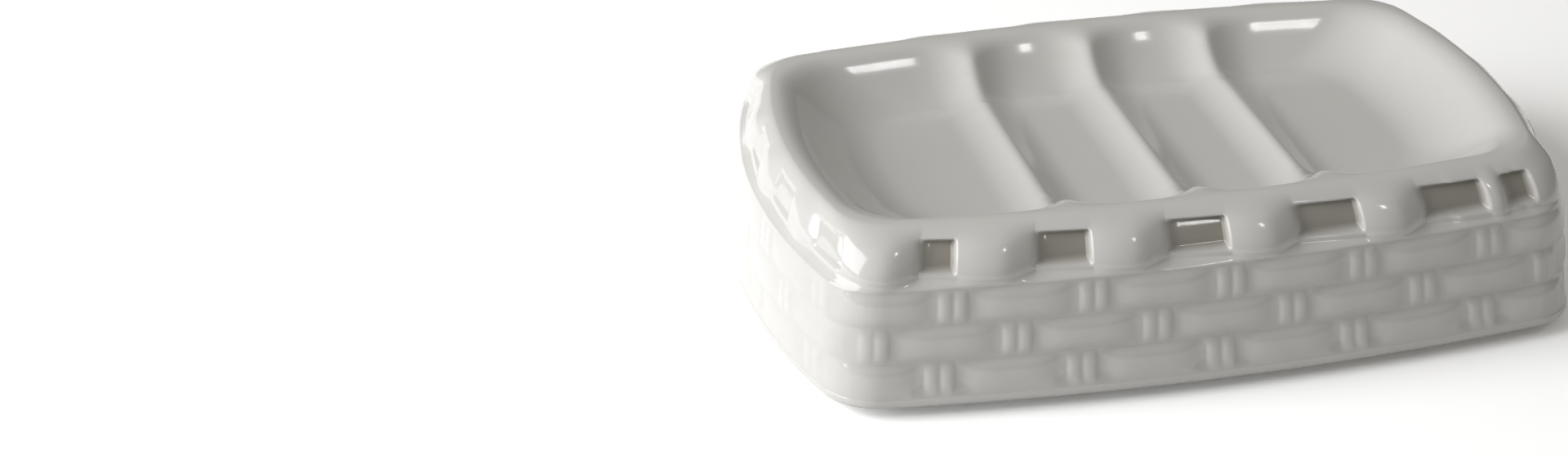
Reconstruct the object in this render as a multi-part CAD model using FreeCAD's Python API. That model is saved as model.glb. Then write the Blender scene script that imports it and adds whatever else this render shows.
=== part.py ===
import FreeCAD, Part
import math
import os

# Soap dish of glazed ceramic with basket-weave sides, standing on four soft pads.
# Millimetres, +Z up, front towards -Y, origin on the table under the middle of the dish.

# Overall size, pads and relief included
LENGTH = 135.0
WIDTH = 90.0
HEIGHT = 28.0

# Plan outline: bowed ends and sides joined by small corners
END_RADIUS = 105.0
SIDE_RADIUS = 430.0
CORNER_RADIUS = 9.0

# Foot ring under the belly, clear of the table, and the plain band that the weave stands on
FOOT_LIFT = 0.6
FOOT_INSET = 4.0
FOOT_HEIGHT = 0.9
BELLY_RISE = 1.3
BAND_HEIGHT = 0.9

# Woven wall: three courses that lean inwards, then a ledge
COURSES = 3
PERIODS = 18
WEAVE_START = -0.6
COURSE_SKEW = 0.9
STAKE_WIDTH = 5.3
RIB_RELIEF = 0.45
BRICK_RELIEF = 0.7
BRICK_ROUND = 1.4
BRICK_FLATNESS = 3
WALL_LEAN_END = 2.2
WALL_LEAN_SIDE = 3.3
LEDGE_DEPTH = 0.9
LEDGE_RISE = 1.2
LEDGE_STEP = 0.35
LEDGE_RISER = 0.25

# Crown over the ledge: border and rim in one round, with bulges and sunk pockets
CROWN_HEIGHT = 6.4
CROWN_ROUND_END = 4.2
CROWN_ROUND_SIDE = 6.7
CROWN_FULLNESS = 1.6
SCALLOP = 1.1
SCALLOP_WIDTH = 12.0
SCALLOP_TOP = 4.2
POCKET_SILL = 0.4
POCKET_HEIGHT = 4.0
POCKET_DEPTH = 2.0
POCKET_WALL = 0.7

# Pockets of the front from left to right, each as its place from the middle and its width
FRONT_POCKETS = ((-46.3, 4.6), (-25.9, 7.7), (-3.6, 8.9), (18.9, 9.8), (41.4, 10.2), (53.4, 4.0))
END_POCKETS = 4
END_POCKET_WIDTH = 8.6

# Basin inside the flat crest: round lip, hollow cove, and four scoops parted by three ridges
RIM_LAND = 0.6
LIP_WIDTH = 3.0
COVE_WIDTH = 9.0
END_STRETCH = 1.4
BASIN_DEPTH = 7.6
BASIN_CORNER = 11.0
BAY_DEPTH = 3.4
RIDGES = 3
RIDGE_SPACING = 21.2
RIDGE_HEIGHT = 1.9
RIDGE_FLANK = 6.0
RIDGE_CREST = 1.0

# Underside and the sealed chamber of the casting
FOOT_WIDTH = 4.0
PANEL_RECESS = 1.4
BASE_THICKNESS = 4.0
FLOOR_THICKNESS = 4.2
WALL_THICKNESS = 4.6
CHAMBER_ROUND = 1.5

# Vent hole and its plug
VENT_BORE = 3.0
VENT_CLEARANCE = 0.1
PLUG_HEAD_DIAMETER = 7.0
PLUG_HEAD_HEIGHT = 0.9
PLUG_BARB_DIAMETER = 4.2
PLUG_BARB_HEIGHT = 1.6
PLUG_TIP_DIAMETER = 2.0

# Pads, each stuck on with an adhesive disc
PAD_DIAMETER = 10.0
PAD_EDGE = 0.4
PAD_CORNER_GAP = 3.0
ADHESIVE_THICKNESS = 0.15

# Steps of the rounded stretches
ROUND_STEPS = 4
COVE_STEPS = 8
CUT_OVERLAP = 2.0
FLOOR_SINK = 0.1

# Heights above the table
panel_z = FOOT_LIFT + PANEL_RECESS
belly_z = FOOT_LIFT + FOOT_HEIGHT
wide_z = belly_z + BELLY_RISE
band_z = wide_z + BAND_HEIGHT
ledge_top_z = HEIGHT - CROWN_HEIGHT
ledge_z = ledge_top_z - LEDGE_RISE
basin_z = HEIGHT - BASIN_DEPTH
chamber_bottom_z = panel_z + BASE_THICKNESS
chamber_top_z = basin_z - FLOOR_THICKNESS


def outline(inset_end, inset_side, corner):
    """Nine arcs anticlockwise from the middle of the front, set in from the overall outline."""
    end_radius = END_RADIUS - inset_end
    side_radius = SIDE_RADIUS - inset_side
    end_x = LENGTH / 2 - END_RADIUS
    side_y = WIDTH / 2 - SIDE_RADIUS
    to_end = end_radius - corner
    to_side = side_radius - corner
    span = math.hypot(end_x, side_y)
    along = (span ** 2 + to_end ** 2 - to_side ** 2) / (2 * span)
    aside = math.sqrt(to_end ** 2 - along ** 2)
    ux = -end_x / span
    uy = side_y / span
    x = end_x + along * ux - aside * uy
    y = along * uy + aside * ux
    end_turn = math.atan2(y, x - end_x)
    side_turn = math.atan2(x, y - side_y)
    right = math.pi / 2
    return [
        (0, -side_y, side_radius, -right, side_turn - right),
        (x, -y, corner, side_turn - right, -end_turn),
        (end_x, 0, end_radius, -end_turn, end_turn),
        (x, y, corner, end_turn, right - side_turn),
        (0, side_y, side_radius, right - side_turn, right + side_turn),
        (-x, y, corner, right + side_turn, 2 * right - end_turn),
        (-end_x, 0, end_radius, 2 * right - end_turn, 2 * right + end_turn),
        (-x, -y, corner, 2 * right + end_turn, 3 * right - side_turn),
        (0, -side_y, side_radius, 3 * right - side_turn, 3 * right),
    ]


def arc_lengths(arcs):
    return [arc[2] * (arc[4] - arc[3]) for arc in arcs]


def arc_point(arc, share, z, proud=0.0):
    """Point at a share of an arc's turn, standing proud of it along its normal."""
    turn = arc[3] + share * (arc[4] - arc[3])
    reach = arc[2] + proud
    return FreeCAD.Vector(arc[0] + reach * math.cos(turn), arc[1] + reach * math.sin(turn), z)


def smooth_ring(arcs, z):
    """Closed wire of the outline's own arcs."""
    edges = []
    for arc in arcs:
        edges.append(Part.Arc(*[arc_point(arc, share, z) for share in (0.0, 0.5, 1.0)]).toShape())
    return Part.Wire(edges)


# Marks are measured round the overall outline and kept at every level
reference_lengths = arc_lengths(outline(0.0, 0.0, CORNER_RADIUS))
perimeter = sum(reference_lengths)
period = perimeter / PERIODS
half_period = period / 2


def mark(distance):
    """Arc number and share of its turn at a distance round the overall outline."""
    distance %= perimeter
    for number, length in enumerate(reference_lengths):
        if distance <= length:
            return number, distance / length
        distance -= length
    return len(reference_lengths) - 1, 1.0


def plain(distance):
    return 0.0


def stake_course(offset):
    """Relief of a course whose stakes, a pair of ribs each, stand at the marks."""
    half_stake = STAKE_WIDTH / 2
    if offset <= half_stake:
        return RIB_RELIEF * (1 - (2 * offset / half_stake - 1) ** 2)
    left = (half_period - offset) / (half_period - half_stake)
    return BRICK_RELIEF * (1 - left ** BRICK_FLATNESS)


def course_relief(course):
    """Relief of a course round the outline: in every other course the stakes stand half-way."""
    shift = course_shift(course) + half_period * (course % 2)

    def relief(distance):
        offset = (distance - shift) % period
        return stake_course(min(offset, period - offset))

    return relief


def course_shift(course):
    """Where a course's first mark lies, each course shifted a little from the one below."""
    return WEAVE_START + COURSE_SKEW * course


def wall_marks(course):
    """Marks of a course round the outline, six to a period."""
    stake = STAKE_WIDTH / 2
    knots = (0.0, stake, half_period - stake, half_period, half_period + stake, period - stake)
    marks = []
    for count in range(PERIODS):
        start = course_shift(course) + count * period
        marks += [start + knot for knot in knots]
    return [*marks, marks[0] + perimeter]


def pocket_gaps():
    """Each pocket with the next one: the front, the right end, then the same half a turn on."""
    half_round = perimeter / 2
    near = FRONT_POCKETS[-1][0]
    far = FRONT_POCKETS[0][0] + half_round
    layout = list(FRONT_POCKETS)
    for count in range(1, END_POCKETS + 1):
        layout.append((near + (far - near) * count / (END_POCKETS + 1), END_POCKET_WIDTH))
    layout += [(place + half_round, width) for place, width in layout]
    first_place, first_width = layout[0]
    return list(zip(layout, [*layout[1:], (first_place + perimeter, first_width)]))


def border_marks():
    """Marks of the border round the outline, six from each pocket to the next."""
    marks = []
    for (place, width), (next_place, next_width) in pocket_gaps():
        left = place + width / 2
        right = next_place - next_width / 2
        marks += [place, left, left + POCKET_WALL, (left + right) / 2, right - POCKET_WALL, right]
    return [*marks, marks[0] + perimeter]


def border_relief(bulged, sunk):
    """Relief of the border, its bulges and its pockets each taken at a share."""
    gaps = pocket_gaps()
    start = gaps[0][0][0]

    def relief(distance):
        distance = start + (distance - start) % perimeter
        for (place, width), (next_place, next_width) in gaps:
            if distance <= next_place:
                break
        half_land = (next_place - next_width / 2 - place - width / 2) / 2
        inside = min(distance - place - width / 2, next_place - next_width / 2 - distance)
        if inside <= POCKET_WALL:
            return -sunk * POCKET_DEPTH * min(1.0, 1 - inside / POCKET_WALL)
        reach = half_land - POCKET_WALL
        across = (half_land - inside) / reach
        return bulged * SCALLOP * min(1.0, 2 * reach / SCALLOP_WIDTH) * (1 - across ** 2)

    return relief


def woven_ring(arcs, z, marks, relief):
    """Closed wire round a level, one curve from each mark to the next, proud by the relief."""

    def marked_point(distance):
        number, share = mark(distance)
        return arc_point(arcs[number], share, z, relief(distance))

    edges = []
    for near, far in zip(marks, marks[1:]):
        first = marked_point(near)
        middle = marked_point((near + far) / 2)
        last = marked_point(far)
        curve = Part.BezierCurve()
        curve.setPoles([first, middle * 2 - (first + last) * 0.5, last])
        edges.append(curve.toShape())
    return Part.Wire(edges)


def woven_form(levels):
    """Solid through levels: height, insets at the ends and the sides, marks and relief."""
    wires = []
    for z, end, side, marks, relief in levels:
        wires.append(woven_ring(outline(end, side, CORNER_RADIUS), z, marks, relief))
    return Part.makeLoft(wires, True, True)


def wall_insets(z):
    """How far the ground of the woven wall stands in from the overall outline, end and side."""
    share = (z - band_z) / (ledge_z - band_z)
    return BRICK_RELIEF + share * WALL_LEAN_END, BRICK_RELIEF + share * WALL_LEAN_SIDE


def crown_insets(rise):
    """Insets of the crown's ground at a height over the ledge."""
    sine = (rise / CROWN_HEIGHT) ** (CROWN_FULLNESS / 2)
    share = 1 - max(0.0, 1 - sine ** 2) ** (1 / CROWN_FULLNESS)
    end, side = wall_insets(ledge_z)
    return end + LEDGE_DEPTH + share * CROWN_ROUND_END, side + LEDGE_DEPTH + share * CROWN_ROUND_SIDE


def wall_form():
    """Foot, belly and the woven courses, up to the flat of the ledge."""
    ground = (wall_marks(0), plain)
    levels = [(FOOT_LIFT, FOOT_INSET, FOOT_INSET, *ground)]
    for step in range(ROUND_STEPS + 1):
        turn = math.pi / 2 * step / ROUND_STEPS
        inset = FOOT_INSET * (1 - math.sin(turn))
        levels.append((belly_z + BELLY_RISE * (1 - math.cos(turn)), inset, inset, *ground))
    levels.append((band_z - BRICK_RELIEF / 2, 0.0, 0.0, *ground))
    levels.append((band_z, *wall_insets(band_z), *ground))
    height = (ledge_z - band_z) / COURSES
    for course in range(COURSES):
        marks = wall_marks(course)
        bottom = band_z + course * height
        top = bottom + height
        for z in (bottom + BRICK_ROUND, top - BRICK_ROUND):
            levels.append((z, *wall_insets(z), marks, course_relief(course)))
        levels.append((top, *wall_insets(top), marks, plain))
    return woven_form(levels)


def border_form():
    """Border and rim, from inside the top of the wall to the flat crest."""
    marks = border_marks()
    end, side = wall_insets(ledge_z)
    levels = []
    for z in (ledge_z - LEDGE_RISER, ledge_z + LEDGE_RISER):
        levels.append((z, end + LEDGE_STEP, side + LEDGE_STEP, marks, plain))
    pocket_top = POCKET_SILL + POCKET_HEIGHT
    low = POCKET_SILL + POCKET_WALL
    high = pocket_top - POCKET_WALL
    rises = [(0.0, 0.0), (POCKET_SILL, 0.0), (low, 1.0), ((low + high) / 2, 1.0), (high, 1.0)]
    top_turn = math.asin((pocket_top / CROWN_HEIGHT) ** (CROWN_FULLNESS / 2))
    for step in range(ROUND_STEPS + 1):
        turn = top_turn + (math.pi / 2 - top_turn) * step / ROUND_STEPS
        rises.append((CROWN_HEIGHT * math.sin(turn) ** (2 / CROWN_FULLNESS), 0.0))
    for rise, sunk in rises:
        bulged = min(1.0, (CROWN_HEIGHT - rise) / (CROWN_HEIGHT - SCALLOP_TOP))
        levels.append((ledge_top_z + rise, *crown_insets(rise), marks, border_relief(bulged, sunk)))
    return woven_form(levels)


def ridge_places():
    """The ridges' places along X, evenly spaced about the middle."""
    return [RIDGE_SPACING * (count - (RIDGES - 1) / 2) for count in range(RIDGES)]


def front_wall_point(arcs, x, z, proud):
    """Point of the basin's front wall near a place along X, standing proud towards the outside."""
    front = arcs[0]
    turn = math.asin(x / front[2]) - math.pi / 2
    reach = front[2] + proud
    return FreeCAD.Vector(reach * math.cos(turn), front[1] + reach * math.sin(turn), z)


def front_bays(arcs, z, bay):
    """Points from left to right along the front wall: drawn in at each ridge, full between them."""
    half_width = arc_point(arcs[0], 1.0, z).x
    marks = [-half_width, *ridge_places(), half_width]
    points = [front_wall_point(arcs, marks[0], z, 0.0)]
    for near, far in zip(marks, marks[1:]):
        points.append(front_wall_point(arcs, (near + far) / 2, z, 0.0))
        points.append(front_wall_point(arcs, far, z, -bay))
    points[-1] = front_wall_point(arcs, marks[-1], z, 0.0)
    return points


def bay_ring(arcs, z, bay):
    """Closed wire of the basin at a level: bays along the sides, plain corners and ends."""
    front = front_bays(arcs, z, bay)
    back = [FreeCAD.Vector(-point.x, -point.y, z) for point in front]
    edges = []
    for side, turns in ((front, arcs[1:4]), (back, arcs[5:8])):
        for count in range(0, len(side) - 1, 2):
            edges.append(Part.Arc(*side[count:count + 3]).toShape())
        for arc in turns:
            points = [arc_point(arc, share, z) for share in (0.0, 0.5, 1.0)]
            edges.append(Part.Arc(*points).toShape())
    return Part.Wire(edges)


def basin_profile():
    """Wall of the basin from above the crest to under the floor: inset, drop and share of the bays."""
    depth = BASIN_DEPTH + FLOOR_SINK
    slope = 2 * depth / (LIP_WIDTH + COVE_WIDTH)
    profile = [(0.0, -CUT_OVERLAP, 0.0)]
    for step in range(ROUND_STEPS + 1):
        share = step / ROUND_STEPS
        profile.append((LIP_WIDTH * share, slope * LIP_WIDTH * share ** 2 / 2, share))
    for step in range(1, COVE_STEPS + 1):
        rest = 1 - step / COVE_STEPS
        inset = LIP_WIDTH + COVE_WIDTH * (1 - rest)
        profile.append((inset, depth - slope * COVE_WIDTH * rest ** 2 / 2, 1.0))
    return profile


def bowl():
    """Hollow of the basin with its bays, wider coves at the ends than at the sides."""
    end, side = crown_insets(CROWN_HEIGHT)
    end += RIM_LAND
    side += RIM_LAND
    wires = []
    for inset, drop, share in basin_profile():
        arcs = outline(end + END_STRETCH * inset, side + inset, BASIN_CORNER)
        wires.append(bay_ring(arcs, HEIGHT - drop, BAY_DEPTH * share))
    return Part.makeLoft(wires, True, True)


def ridged_block():
    """Block above the basin's floor, whose underside carries the ridges along Y."""
    flank = RIDGE_FLANK
    cap = RIDGE_CREST
    steepness = RIDGE_HEIGHT / (flank * (flank + cap))
    shoulder = basin_z + steepness * flank ** 2
    quarter = basin_z + steepness * (flank / 2) ** 2
    crest = basin_z + RIDGE_HEIGHT

    def at(x, z):
        return FreeCAD.Vector(x, -WIDTH / 2, z)

    edges = []
    last = at(-LENGTH / 2, basin_z)
    for x in ridge_places():
        foot = at(x - cap - flank, basin_z)
        rise = at(x - cap, shoulder)
        fall = at(x + cap, shoulder)
        edges.append(Part.makeLine(last, foot))
        edges.append(Part.Arc(foot, at(x - cap - flank / 2, quarter), rise).toShape())
        edges.append(Part.Arc(rise, at(x, crest), fall).toShape())
        last = at(x + cap + flank, basin_z)
        edges.append(Part.Arc(fall, at(x + cap + flank / 2, quarter), last).toShape())
    corners = [
        last,
        at(LENGTH / 2, basin_z),
        at(LENGTH / 2, HEIGHT + 2 * CUT_OVERLAP),
        at(-LENGTH / 2, HEIGHT + 2 * CUT_OVERLAP),
        at(-LENGTH / 2, basin_z),
    ]
    for near, far in zip(corners, corners[1:]):
        edges.append(Part.makeLine(near, far))
    return Part.Face(Part.Wire(edges)).extrude(FreeCAD.Vector(0, WIDTH, 0))


def chamber():
    """The sealed hollow that casting leaves between the base, the walls and the basin."""
    wires = []
    bottom = chamber_bottom_z
    top = chamber_top_z
    for z, inset in (
        (bottom, CHAMBER_ROUND),
        (bottom + CHAMBER_ROUND, 0.0),
        (top - CHAMBER_ROUND, 0.0),
        (top, CHAMBER_ROUND),
    ):
        end, side = wall_insets(z)
        arcs = outline(end + WALL_THICKNESS + inset, side + WALL_THICKNESS + inset, CORNER_RADIUS)
        wires.append(smooth_ring(arcs, z))
    return Part.makeLoft(wires, True, True)


def panel_outline():
    inset = FOOT_INSET + FOOT_WIDTH
    return outline(inset, inset, CORNER_RADIUS)


def panel_recess():
    """The shallow recess inside the foot rim, where the pads sit."""
    ring = smooth_ring(panel_outline(), FOOT_LIFT - CUT_OVERLAP)
    return Part.Face(ring).extrude(FreeCAD.Vector(0, 0, PANEL_RECESS + CUT_OVERLAP))


def round_bar(diameter, bottom, top, x=0.0, y=0.0):
    return Part.makeCylinder(diameter / 2, top - bottom, FreeCAD.Vector(x, y, bottom))


def dish_body():
    """Hollow ceramic dish with its woven sides, basin, foot and vent hole."""
    body = wall_form().fuse(border_form()).cut(bowl().common(ridged_block()))
    vent = round_bar(VENT_BORE, panel_z - CUT_OVERLAP, chamber_bottom_z + CUT_OVERLAP)
    return body.cut(chamber().fuse(vent)).cut(panel_recess())


def vent_plug():
    """Soft stopper: head under the panel, stem through the base, barb on the chamber's floor."""
    stem = VENT_BORE - 2 * VENT_CLEARANCE
    head = round_bar(PLUG_HEAD_DIAMETER, panel_z - PLUG_HEAD_HEIGHT, panel_z)
    shank = round_bar(stem, panel_z, chamber_bottom_z)
    barb = Part.makeCone(
        PLUG_BARB_DIAMETER / 2,
        PLUG_TIP_DIAMETER / 2,
        PLUG_BARB_HEIGHT,
        FreeCAD.Vector(0, 0, chamber_bottom_z),
    )
    return head.fuse(shank).fuse(barb)


def pad_centre():
    """Middle of the pad at the back right, in the corner of the recess."""
    corner = panel_outline()[3]
    toward = math.hypot(corner[0], corner[1])
    back_off = PAD_CORNER_GAP + PAD_DIAMETER / 2 - corner[2]
    return corner[0] - back_off * corner[0] / toward, corner[1] - back_off * corner[1] / toward


def foot_pad(x, y):
    """Soft disc with a broken lower edge, from the table to its adhesive."""
    disc = round_bar(PAD_DIAMETER, 0.0, panel_z - ADHESIVE_THICKNESS, x, y)
    lower = [edge for edge in disc.Edges if edge.BoundBox.ZMax < PAD_EDGE / 2]
    return disc.makeChamfer(PAD_EDGE, lower)


def adhesive_disc(x, y):
    return round_bar(PAD_DIAMETER, panel_z - ADHESIVE_THICKNESS, panel_z, x, y)


def all_parts():
    parts = {"dish_body": dish_body(), "vent_plug": vent_plug()}
    x, y = pad_centre()
    for place, side_y in (("front", -y), ("back", y)):
        for hand, side_x in (("left", -x), ("right", x)):
            parts[f"foot_pad_{place}_{hand}"] = foot_pad(side_x, side_y)
            parts[f"adhesive_disc_{place}_{hand}"] = adhesive_disc(side_x, side_y)
    return parts


os.makedirs("parts", exist_ok=True)
for name, shape in all_parts().items():
    shape.exportStep(f"parts/{name}.step")
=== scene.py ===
"""White glazed soap dish with basket-weave sides, its soft fittings and a studio stage."""

import bisect
import math

import bmesh
import bpy
from bpy.props import FloatProperty, FloatVectorProperty, IntProperty, PointerProperty
from mathutils import Matrix, Vector


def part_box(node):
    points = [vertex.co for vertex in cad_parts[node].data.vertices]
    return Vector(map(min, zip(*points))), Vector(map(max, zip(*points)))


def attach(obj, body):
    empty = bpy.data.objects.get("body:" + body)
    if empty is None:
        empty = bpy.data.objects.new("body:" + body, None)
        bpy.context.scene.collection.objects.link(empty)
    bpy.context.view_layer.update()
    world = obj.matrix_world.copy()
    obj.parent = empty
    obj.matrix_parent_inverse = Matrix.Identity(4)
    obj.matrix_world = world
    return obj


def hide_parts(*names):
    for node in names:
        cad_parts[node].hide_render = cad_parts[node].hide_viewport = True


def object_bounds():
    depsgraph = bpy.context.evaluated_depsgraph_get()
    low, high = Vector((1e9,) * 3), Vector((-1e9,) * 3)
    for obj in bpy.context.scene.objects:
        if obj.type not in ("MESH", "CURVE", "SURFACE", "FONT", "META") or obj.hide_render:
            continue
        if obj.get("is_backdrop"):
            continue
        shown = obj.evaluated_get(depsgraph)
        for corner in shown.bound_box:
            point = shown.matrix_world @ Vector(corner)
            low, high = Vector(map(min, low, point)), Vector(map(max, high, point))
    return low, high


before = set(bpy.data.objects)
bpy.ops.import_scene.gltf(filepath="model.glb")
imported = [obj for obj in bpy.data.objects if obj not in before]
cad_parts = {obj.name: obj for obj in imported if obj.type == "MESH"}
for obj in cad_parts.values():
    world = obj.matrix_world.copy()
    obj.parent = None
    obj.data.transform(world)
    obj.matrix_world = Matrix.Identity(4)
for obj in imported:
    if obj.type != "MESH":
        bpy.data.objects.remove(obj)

bl_info = {
    "name": "Basket-Weave Soap Dish",
    "version": (1, 0, 0),
    "blender": (4, 5, 0),
    "location": "View3D > Sidebar > Soap Dish",
    "description": "Models a glazed soap dish with basket-weave sides, its fittings and its stage",
    "category": "Add Mesh",
}

MM = 0.001
cad_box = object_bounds()
body_low, body_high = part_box("dish_body")
panel_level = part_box("adhesive_disc_front_left")[1].z


def size(label, description, millimetres):
    """A length that a user can set, given in millimetres and kept in metres."""
    return FloatProperty(
        name=label, description=description, default=millimetres * MM, unit="LENGTH", precision=5
    )


def angle(label, description, degrees):
    """An angle that a user can set, given in degrees."""
    return FloatProperty(
        name=label, description=description, default=math.radians(degrees), subtype="ANGLE"
    )


def colour(label, description, value):
    """A linear colour that a user can set."""
    return FloatVectorProperty(
        name=label, description=description, default=value, subtype="COLOR", min=0.0, max=1.0
    )


def number(label, description, value):
    """A plain factor that a user can set."""
    return FloatProperty(name=label, description=description, default=value)


def count(label, description, value):
    """A whole number that a user can set."""
    return IntProperty(name=label, description=description, default=value, min=1)


class SoapDishForm(bpy.types.PropertyGroup):
    """Outline and profile of the dish."""

    length: size("Length", "Overall length", (body_high.x - body_low.x) / MM)
    width: size("Width", "Overall width", (body_high.y - body_low.y) / MM)
    height: size("Height", "Height of the rim above the table", body_high.z / MM)
    end_radius: size("End radius", "Bow of the two short ends in plan", 105.0)
    side_radius: size("Side radius", "Bow of the two long sides in plan", 430.0)
    corner_radius: size("Corner radius", "Round of the four corners in plan", 9.0)
    foot_lift: size("Foot lift", "Gap between the foot ring and the table", body_low.z / MM)
    foot_inset: size("Foot inset", "How far the foot ring stands in under the belly", 4.0)
    foot_height: size("Foot height", "Height of the foot ring's outer wall", 0.9)
    foot_width: size("Foot width", "Width of the foot ring", 4.0)
    foot_round: size("Foot round", "Round of the foot ring's edges", 0.4)
    belly_rise: size("Belly rise", "Height over which the belly rounds out", 1.3)
    band_height: size("Band height", "Plain band under the weave", 0.9)
    wall_lean_end: size("End lean", "How far the woven wall leans in at the ends", 2.2)
    wall_lean_side: size("Side lean", "How far the woven wall leans in at the sides", 3.3)
    ledge_depth: size("Ledge depth", "Depth of the ledge over the weave", 0.9)
    ledge_rise: size("Ledge rise", "Height of the ledge over the weave", 1.2)
    crown_height: size("Crown height", "Height of the border and the rim together", 6.4)
    crown_round_end: size("Crown round at the ends", "How far the crown rounds in at the ends", 4.2)
    crown_round_side: size("Crown round at the sides", "How far the crown rounds in at the sides", 6.7)
    crown_fullness: number("Crown fullness", "Power of the crown's round, 2 is an ellipse", 1.6)
    rim_land: size("Rim land", "Width of the flat crest of the rim", 0.6)
    wall_thickness: size("Wall thickness", "Wall round the hollow of the casting", 4.6)
    base_thickness: size("Base thickness", "Base under the hollow of the casting", 4.0)
    floor_thickness: size("Floor thickness", "Basin floor over the hollow of the casting", 4.2)
    chamber_round: size("Chamber round", "Round of the hollow's edges", 1.5)
    vent_bore: size("Vent bore", "Diameter of the vent hole", 3.0)


# Pockets of the front from left to right, each as its place from the middle and its width, in mm
FRONT_POCKETS = ((-46.3, 4.6), (-25.9, 7.7), (-3.6, 8.9), (18.9, 9.8), (41.4, 10.2), (53.4, 4.0))


class SoapDishWeave(bpy.types.PropertyGroup):
    """Basket weave and border of the outside."""

    courses: count("Courses", "Courses of the woven wall", 3)
    periods: count("Periods", "Stakes round the dish", 18)
    start: size("Start", "Where the first stake stands, from the middle of the front", -0.6)
    skew: size("Skew", "How far each course is shifted from the one below", 0.9)
    stake_width: size("Stake width", "Width of a stake, two ribs side by side", 5.3)
    rib_relief: size("Rib relief", "How far the ribs stand proud", 0.34)
    rib_groove: number("Rib groove", "Depth of the groove between two ribs, as a share", 0.55)
    brick_relief: size("Brick relief", "How far the bricks stand proud", 0.6)
    brick_flatness: number("Brick flatness", "Power of a brick's crown, higher is flatter", 2.4)
    scallop: size("Scallop", "How far the border's bulges stand proud", 1.1)
    scallop_width: size("Scallop width", "Width from which a bulge stands fully proud", 12.0)
    scallop_top: size("Scallop top", "Height over the ledge at which the bulges begin to fade", 4.5)
    scallop_soft: number("Scallop softness", "Round of the bulges' upper edge", 0.07)
    scallop_fall: size("Scallop fall", "How far each bulge falls back towards its right end", 0.9)
    band_fill: number("Band fill", "How much of the lowest groove the plain band fills", 0.75)
    band_blend: number("Band blend", "Share of the lowest course that runs into the band", 0.4)
    end_pockets: count("End pockets", "Pockets of a short end", 4)
    end_pocket_width: size("End pocket width", "Width of a short end's pockets", 8.6)
    end_fade: number("End fade", "How much fainter the relief is on the short ends, as a share", 0.65)
    pocket_height: size("Pocket height", "Height of a sunk pocket", 4.6)
    pocket_sill: size("Pocket sill", "Height of a pocket's lower edge over the ledge", 0.4)
    pocket_depth: size("Pocket depth", "Depth of a sunk pocket", 2.0)
    pocket_wall: size("Pocket wall", "Width of a pocket's sloping wall", 0.7)
    pocket_slope: size("Pocket slope", "Width of the softer slope at a pocket's left", 2.4)


class SoapDishBasin(bpy.types.PropertyGroup):
    """Basin with its scoops and ridges."""

    lip_width: size("Lip width", "Width of the round inner lip of the rim", 3.0)
    depth: size("Depth", "Depth of the basin under the rim", 7.6)
    corner: size("Corner", "Round of the basin's corners in plan", 11.0)
    cove_width: size("Cove width", "Width of the hollow cove from the lip to the floor", 9.0)
    end_stretch: number("End stretch", "How much wider the lip and the cove are at the ends", 1.4)
    bay_depth: size("Bay depth", "How far the walls are drawn in at each ridge", 3.4)
    bay_power: number("Bay power", "Power of the bays' curve, higher is flatter between the ridges", 3.2)
    bay_soft: size("Bay softness", "Round of the wall's arris at each ridge", 0.8)
    ridges: count("Ridges", "Ridges across the floor", 3)
    ridge_spacing: size("Ridge spacing", "Spacing of the ridges", 21.2)
    ridge_height: size("Ridge height", "Height of a ridge over the floor", 1.9)
    ridge_flank: size("Ridge flank", "Width of a ridge's hollow flank", 6.0)
    ridge_crest: size("Ridge crest", "Half the width of a ridge's round crest", 1.0)


class SoapDishFinish(bpy.types.PropertyGroup):
    """Colours of the finishes."""

    glaze: colour("Glaze", "Glaze where it lies evenly", (0.80, 0.795, 0.775))
    # Pooled glaze with painted shade: a darker, warmer grey that shades the pockets and grooves
    pooled_and_shaded: colour("Pooled glaze", "Glaze where it pools in the pockets", (0.38, 0.36, 0.315))
    thin: colour("Thin glaze", "Glaze where it runs thin on the edges", (0.84, 0.82, 0.785))
    silicone: colour("Silicone", "Soft pads and plug", (0.58, 0.59, 0.59))
    tape: colour("Adhesive", "Foam tape behind the pads", (0.74, 0.72, 0.66))


class SoapDishStage(bpy.types.PropertyGroup):
    """Camera and light."""

    azimuth: angle("Azimuth", "Camera's turn to the left of the front", -20.27)
    elevation: angle("Elevation", "Camera's height over the horizon", 27.65)
    roll: angle("Roll", "Camera's roll", 3.33)
    distance: size("Distance", "Camera's distance from the dish", 439.07)
    lens: number("Lens", "Focal length in millimetres on a 36 mm sensor", 60.0)
    picture_width: number("Picture width", "Width of the picture in pixels", 1920.0)
    picture_height: number("Picture height", "Height of the picture in pixels", 558.0)
    aim_column: number("Aim column", "Pixel column at which the dish's middle lies", 1389.9)
    aim_row: number("Aim row", "Pixel row at which the dish's middle lies", 218.5)
    fill: number("Fill", "Strength of the even light from all round", 0.205)
    fill_tint: colour("Fill tint", "Colour of the even light", (1.0, 0.965, 0.90))
    key_power: number("Key power", "Power of the large soft light, in watts", 7.4)
    window_power: number("Window power", "Power of the small window light, in watts", 0.20)
    floor: colour("Floor", "Colour of the floor", (0.58, 0.585, 0.59))
    floor_paleness: number("Floor paleness", "How pale the floor looks to the camera", 3.1)


# Columns of the outer mesh in half a period: over a stake, over a brick's middle, over a stake
STAKE_STEPS = 8
BRICK_STEPS = 4
# Columns over a pocket's wall where two pockets stand wide or narrow apart, and that spacing in mm
POCKET_WALL_STEPS = 8
NARROW_WALL_STEPS = 5
NARROW_GAP = 16.0
LEAST_STEPS = 2
# Columns of the basin and of the underside
BASIN_COLUMNS = 432
BASE_COLUMNS = 180
# Rings of each round, course, ledge, crown, lip and cove
ROUND_RINGS = 6
COURSE_RINGS = 12
LEDGE_RINGS = 6
CROWN_RINGS = 30
LIP_RINGS = 9
COVE_RINGS = 18
# Arcs of the plan that make the front and the back
LONG_SIDES = (0, 4, 8)
# Narrow faces round the flat base panel and its vent, in mm, which keep its shading flat
PANEL_MARGIN = 0.4
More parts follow.
